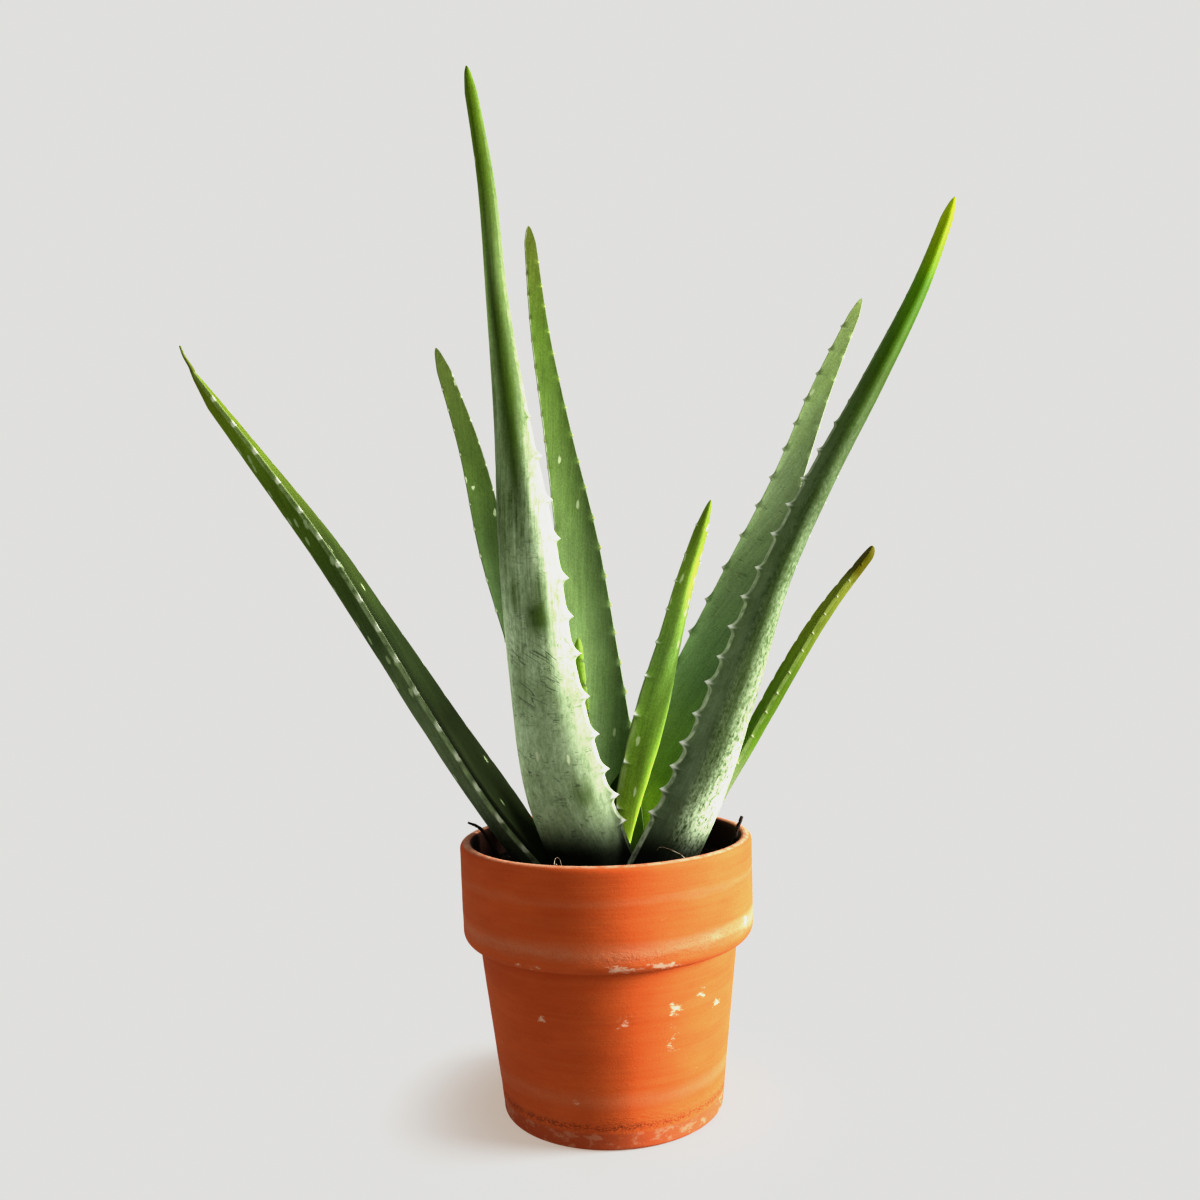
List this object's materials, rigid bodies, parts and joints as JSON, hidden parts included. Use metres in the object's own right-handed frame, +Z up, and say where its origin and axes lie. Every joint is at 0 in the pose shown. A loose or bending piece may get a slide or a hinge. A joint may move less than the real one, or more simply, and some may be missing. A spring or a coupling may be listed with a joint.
{
  "type": "potted aloe plant",
  "caption": "Aloe with long toothed fleshy leaves in a fan-like rosette, growing from dark soil in a banded terracotta flowerpot.",
  "frame": {"origin": "pot axis at the pot's underside, which is also the middle of the whole plant's width", "axes": "+Z up along the pot's axis, +X to the right and +Y away from the viewer, with the fan of leaves spread along X"},
  "size_m": [0.358, 0.13, 0.4486],
  "materials": {
    "pot": "unglazed, matte",
    "soil": "damp fibrous potting mix",
    "stem_and_roots": "matte",
    "leaf_bud": "waxy",
    "leaf_young": "waxy",
    "leaf_back_mid": "waxy",
    "leaf_back_right": "waxy",
    "leaf_back_left": "waxy",
    "leaf_far_right": "waxy",
    "leaf_left": "waxy",
    "leaf_tall": "waxy with a pale bloom",
    "leaf_front_right": "waxy with a pale bloom",
    "twig": "rough bark"
  },
  "bodies": {
    "root": {"pot": "pot", "soil": "soil", "stem_and_roots": "stem_and_roots", "leaf_bud": "leaf_bud", "leaf_young": "leaf_young", "leaf_back_mid": "leaf_back_mid", "leaf_back_right": "leaf_back_right", "leaf_back_left": "leaf_back_left", "leaf_far_right": "leaf_far_right", "leaf_left": "leaf_left", "leaf_tall": "leaf_tall", "leaf_front_right": "leaf_front_right", "twig_right": "twig", "twig_left": "twig"}
  },
  "joints": []
}
